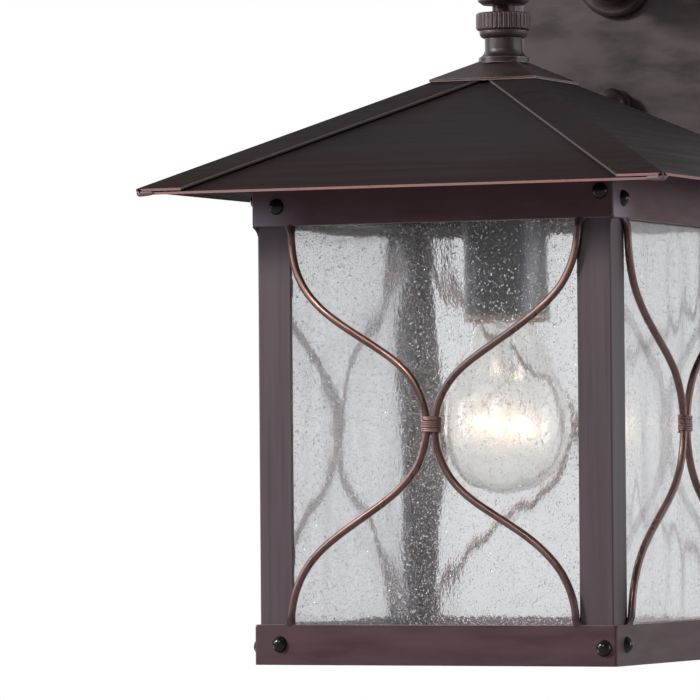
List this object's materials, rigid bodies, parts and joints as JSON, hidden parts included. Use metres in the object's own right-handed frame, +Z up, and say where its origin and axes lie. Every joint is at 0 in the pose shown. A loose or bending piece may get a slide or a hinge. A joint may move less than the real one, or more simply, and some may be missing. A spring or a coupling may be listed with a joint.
{
  "type": "wall lantern",
  "caption": "Square wall lantern with a pyramid roof, clear seeded glass panes, bound scroll wires on every side and a clear bulb, hung from a crook arm on a stepped backplate.",
  "frame": {"origin": "middle of the wall face, where the mounting bracket meets the wall", "axes": "+Z up, +Y into the wall, -Y out into the room, +X to the right seen from the room"},
  "size_m": [0.2524, 0.2812, 0.4215],
  "materials": {
    "bronze": "burnished dark bronze, satin, finely brushed, edges rubbed to copper",
    "wire_bronze": "burnished bronze wire, satin, rubbed to copper where it catches the hand",
    "rivet_black": "black bronze, semi gloss",
    "seeded_glass": "clear, densely seeded with small bubbles, lightly wavy",
    "bulb_clear_glass": "clear",
    "cup_black": "dark bronze, satin",
    "porcelain": "glazed white",
    "brass": "plain brass",
    "bulb_aluminium": "rolled thin sheet",
    "bulb_black_glass": "opaque black",
    "solder": "dull solder",
    "nickel_wire": "drawn wire",
    "tungsten": null,
    "zinc_steel": "zinc plated",
    "gasket_foam": "closed cell foam",
    "green_screw": "green dyed zinc"
  },
  "bodies": {
    "lantern": {"arm_coupling": "bronze", "arm_flange": "bronze", "arm_nut": "zinc_steel", "arm_tube": "bronze", "backplate": "bronze", "bottom_rail": "bronze", "bracket_studs": "zinc_steel", "bridge": "bronze", "centre_contact": "brass", "collar": "bronze", "collar_rivets": "rivet_black", "glass_front": "seeded_glass", "glass_left": "seeded_glass", "glass_rear": "seeded_glass", "glass_right": "seeded_glass", "glass_tabs": "bronze", "ground_screw": "green_screw", "mounting_bracket": "zinc_steel", "post_front_left": "bronze", "post_front_right": "bronze", "post_rear_left": "bronze", "post_rear_right": "bronze", "rail_rivets": "rivet_black", "roof_cap": "bronze", "roof_front": "bronze", "roof_left": "bronze", "roof_rear": "bronze", "roof_right": "bronze", "scroll_front_left": "wire_bronze", "scroll_front_right": "wire_bronze", "scroll_left_front": "wire_bronze", "scroll_left_rear": "wire_bronze", "scroll_rear_left": "wire_bronze", "scroll_rear_right": "wire_bronze", "scroll_right_front": "wire_bronze", "scroll_right_rear": "wire_bronze", "socket_body": "porcelain", "socket_cup": "cup_black", "socket_shell": "brass", "stem": "zinc_steel", "stem_nuts": "zinc_steel", "terminal_screws": "brass", "wall_gasket": "gasket_foam", "wrap_front": "wire_bronze", "wrap_left": "wire_bronze", "wrap_rear": "wire_bronze", "wrap_right": "wire_bronze"},
    "bulb": {"bulb_glass": "bulb_clear_glass", "bulb_base": "bulb_aluminium", "bulb_insulator": "bulb_black_glass", "bulb_contact": "solder", "bulb_stem": "bulb_clear_glass", "bulb_leads": "nickel_wire", "filament": "tungsten"},
    "lock_ring": {"lock_ring": "bronze"},
    "cap_nut_upper": {"cap_nut_upper": "bronze"},
    "cap_nut_lower": {"cap_nut_lower": "bronze"}
  },
  "joints": [
    {"name": "bulb_turn", "type": "hinge", "parent": "lantern", "child": "bulb", "pos_m": [0, -0.155, -0.215], "axis": [0, 0, 1], "continuous": true},
    {"name": "lock_ring_turn", "type": "hinge", "parent": "lantern", "child": "lock_ring", "pos_m": [0, -0.155, -0.0307], "axis": [0, 0, 1], "continuous": true},
    {"name": "cap_nut_upper_turn", "type": "hinge", "parent": "lantern", "child": "cap_nut_upper", "pos_m": [0, -0.02, 0.06], "axis": [0, -1, 0], "continuous": true},
    {"name": "cap_nut_lower_turn", "type": "hinge", "parent": "lantern", "child": "cap_nut_lower", "pos_m": [0, -0.02, -0.06], "axis": [0, -1, 0], "continuous": true}
  ]
}
